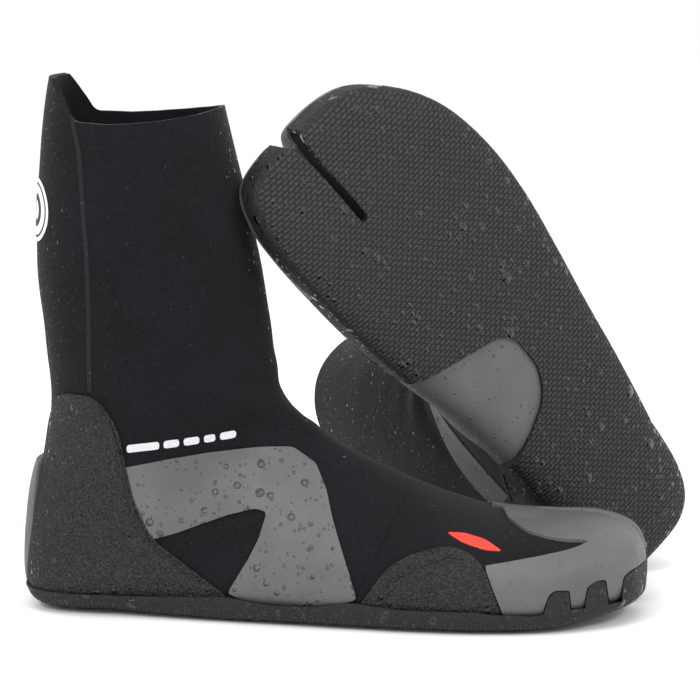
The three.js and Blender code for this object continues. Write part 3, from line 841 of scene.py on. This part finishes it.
def ink_finish(name, low, high, rough):
    f = Finish(name, rough)
    base = f.mix(f.step(f.noise(1.5, 3), 0.35, 0.7), low, high)
    f.wet(base, f.math("MULTIPLY", f.noise(2.4, 3), 0.05),
          f.step(f.noise(1.2, 2), 0.3, 0.7, rough - 0.08, rough), ((2.6, 0.12, 0.36),))
    return f.mat


LOOKS = {
    "neoprene": neoprene_finish(),
    "lining": cloth_finish("charcoal_lining", srgb(16, 16, 18), srgb(25, 25, 28), 0.9, 0.3, 0.95),
    "foam": cloth_finish("cut_foam_edge", srgb(70, 70, 74), srgb(104, 104, 108), 1.2, 0.2, 0.9),
    "tape": cloth_finish("black_seam_tape", srgb(13, 13, 16), srgb(20, 20, 24), 1.6, 0.15, 0.8,
                         ((2.2, 0.2, 0.36),)),
    "knit": cloth_finish("footbed_knit", srgb(34, 34, 38), srgb(50, 50, 55), 0.8, 0.35, 0.95),
    "counter": rubber_finish("pebbled_counter_rubber", srgb(4, 4, 3), srgb(44, 44, 41),
                             ((4.0, 0.35, 0.44), (1.9, 0.4, 0.44))),
    "sole": sole_finish(),
    "grey": grey_finish("satin_grey_panel", ((3.2, 0.2, 0.36), (1.6, 0.2, 0.4))),
    "beaded": grey_finish("wet_grey_panel", ((5.0, 0.5, 0.46), (2.2, 0.55, 0.46))),
    "cap": grey_finish("smooth_grey_rubber", ((1.8, 0.14, 0.36),)),
    "white": ink_finish("white_print", srgb(214, 214, 212), srgb(236, 236, 234), 0.55),
    "ink": ink_finish("black_ink", srgb(22, 22, 25), srgb(32, 32, 36), 0.6),
    "print": ink_finish("pale_print", srgb(178, 180, 184), srgb(204, 206, 208), 0.55),
    "red": ink_finish("red_print", srgb(190, 38, 22), srgb(214, 54, 34), 0.45),
}

# ---- the pair: every piece is placed by its boot's joints ----
JOINTS = {j["name"]: j for j in frame["joints"]}


def placement(side):
    """The boot frame's axes and origin in the pair, from the ankle and toe pivots."""
    ankle, toe = JOINTS[side + "_ankle_flex"], JOINTS[side + "_toe_bend"]
    start, hinge = Vector(ankle["pos_m"]), Vector(ankle["axis"]).normalized()
    run = Vector(toe["pos_m"]) - start
    run = (run - hinge * run.dot(hinge)).normalized()
    lift = run.cross(hinge)
    tilt = math.atan2(TOE_PIVOT[2] - ANKLE_PIVOT[2], TOE_PIVOT[0] - ANKLE_PIVOT[0])
    x = run * math.cos(tilt) - lift * math.sin(tilt)
    z = run * math.sin(tilt) + lift * math.cos(tilt)
    return x, hinge if side == "right" else -hinge, z, start


def placed(o, side, axes):
    """A copy of the piece's mesh set in the pair, with its boot-frame place kept as an attribute."""
    me = o.data.copy()
    co = np.empty(len(me.vertices) * 3, np.float64)
    me.vertices.foreach_get("co", co)
    co = co.reshape(-1, 3)
    boot = me.attributes.new("boot", "FLOAT_VECTOR", "POINT")
    boot.data.foreach_set("vector", co.astype(np.float32).ravel())
    down = np.empty(len(me.vertices) * 3, np.float64)
    me.vertices.foreach_get("normal", down)
    under = np.clip(-down[2::3], 0, 1).astype(np.float32)
    me.attributes.new("under", "FLOAT", "POINT").data.foreach_set("value", under)
    x, y, z, origin = axes
    local = (co - np.array(ANKLE_PIVOT)) / 1000
    world = np.outer(local[:, 0], x) + np.outer(local[:, 1], y) + np.outer(local[:, 2], z) + np.array(origin)
    me.vertices.foreach_set("co", world.ravel())
    if side == "left":
        me.flip_normals()
    me.update()
    return me


for side in ("right", "left"):
    axes = placement(side)
    for name, o, look, slot, how, nodes in made:
        me = placed(o, side, axes)
        me.name = side + "_" + name
        me.materials.clear()
        for key in look:
            me.materials.append(LOOKS[key])
        new = bpy.data.objects.new(side + "_" + name, me)
        bpy.context.scene.collection.objects.link(new)
        if how == "ankle":
            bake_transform(new)
        elif how == "toe":
            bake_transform(new)
        else:
            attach(new, side + "_" + how)
        if nodes:
            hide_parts(*[side + "_" + n for n in nodes])
for name, o, *rest in made:
    bpy.data.objects.remove(o)

# ---- floor, light and camera ----
def floor_finish():
    f = Finish("pale_studio_floor", 0.35)
    f.place = f.node("ShaderNodeTexCoord").outputs["Object"]
    f.set("Base Color", f.mix(f.step(f.noise(9, 3), 0.3, 0.7), (0.93, 0.93, 0.93, 1), (0.95, 0.95, 0.95, 1)))
    f.set("Roughness", f.step(f.noise(14, 3), 0.3, 0.7, 0.3, 0.45))
    return f.mat


bm = bmesh.new()
bmesh.ops.create_grid(bm, x_segments=2, y_segments=2, size=6.0)
floor = to_object(bm, "studio_floor")
floor.data.materials.append(floor_finish())

world = bpy.data.worlds.new("studio")
bpy.context.scene.world = world
world.use_nodes = True
world.node_tree.nodes["Background"].inputs["Color"].default_value = (1, 1, 1, 1)
world.node_tree.nodes["Background"].inputs["Strength"].default_value = 1.05


def softbox(name, place, aim, size, watts):
    data = bpy.data.lights.new(name, "AREA")
    data.shape, data.energy = "RECTANGLE", watts
    data.size, data.size_y = size
    o = bpy.data.objects.new(name, data)
    o.location = place
    o.rotation_euler = (Vector(aim) - Vector(place)).to_track_quat("-Z", "Y").to_euler()
    bpy.context.scene.collection.objects.link(o)
    return o


for name, place, height, size, watts in (
        ("overhead_softbox", (0.1, -0.3, 1.7), 0.1, (1.6, 1.2), 10),
        ("left_softbox", (-1.6, -0.7, 0.9), 0.15, (1.0, 1.2), 5),
        ("right_softbox", (1.7, -0.9, 1.0), 0.15, (1.0, 1.2), 5),
        ("left_glint", (-0.9, -1.3, 1.3), 0.12, (0.3, 0.3), 10),
        ("right_glint", (1.0, -1.2, 1.2), 0.12, (0.3, 0.3), 10)):
    softbox(name, place, (0, 0, height), size, watts)

camera = bpy.data.cameras.new("camera")
camera.sensor_width, camera.lens = 36, 178.9      # millimetres
camera.clip_start, camera.clip_end = 0.05, 30
eye = bpy.data.objects.new("camera", camera)
EYE, AIM = Vector((-0.00524, -1.6939, 0.3620)), Vector((-0.00524, -0.1123, 0.120))
eye.location = EYE
eye.rotation_euler = (AIM - EYE).to_track_quat("-Z", "Y").to_euler()
bpy.context.scene.collection.objects.link(eye)
bpy.context.scene.camera = eye
bpy.context.scene.view_settings.view_transform = "Standard"
